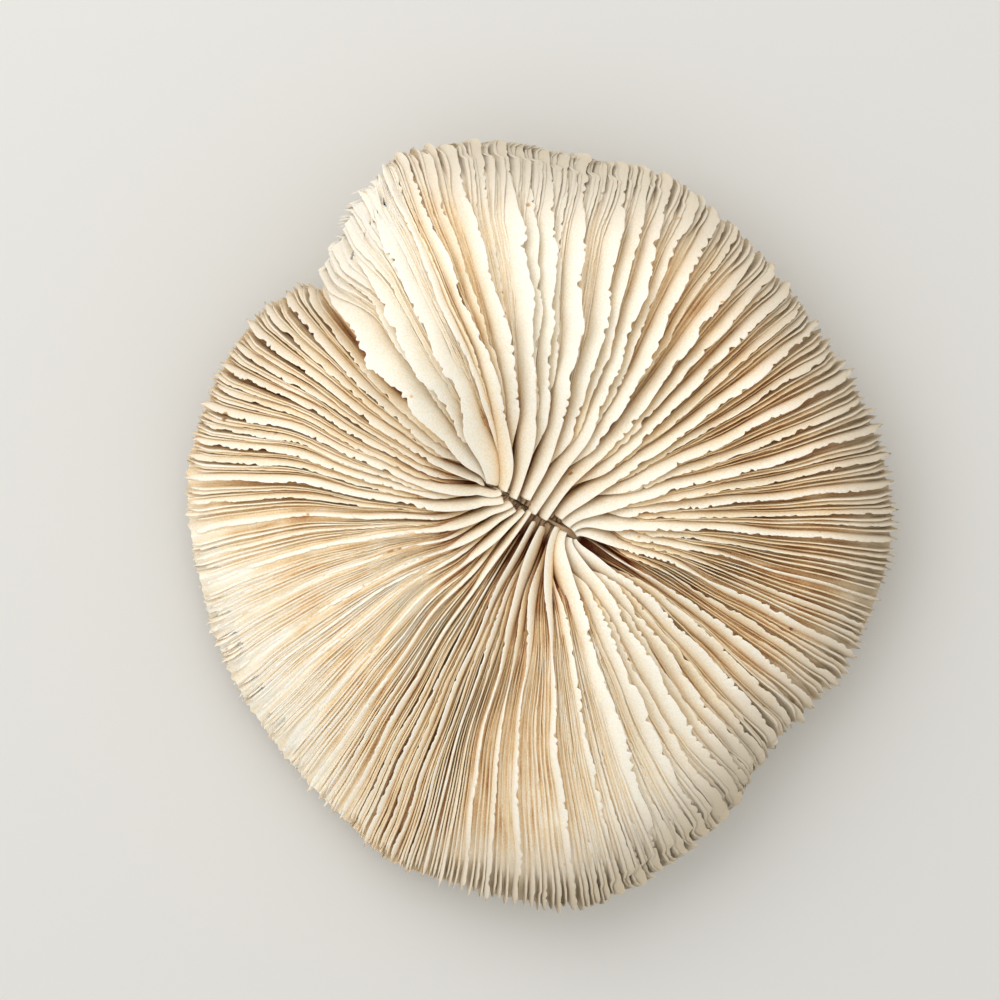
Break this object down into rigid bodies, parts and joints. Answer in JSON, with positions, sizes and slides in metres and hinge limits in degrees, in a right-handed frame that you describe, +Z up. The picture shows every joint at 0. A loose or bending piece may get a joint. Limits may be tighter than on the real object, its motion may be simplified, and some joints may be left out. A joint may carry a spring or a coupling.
{
  "type": "mushroom coral skeleton",
  "caption": "Free-lying disc of a solitary stony coral, domed, with wavy upright blades fanning from a slit mouth to a toothed rim, and a flat scar underneath.",
  "frame": {"origin": "centre of the flat scar it rests on, straight under the mouth", "axes": "+Z up out of the mouth, along the thin way through the disc; +Y towards the top of the picture, +X towards its right"},
  "size_m": [0.1197, 0.1289, 0.0372],
  "materials": {
    "coral": "matt, chalky bleached aragonite, tan in the grooves"
  },
  "bodies": {
    "root": {"coral_skeleton": "coral"}
  },
  "joints": []
}
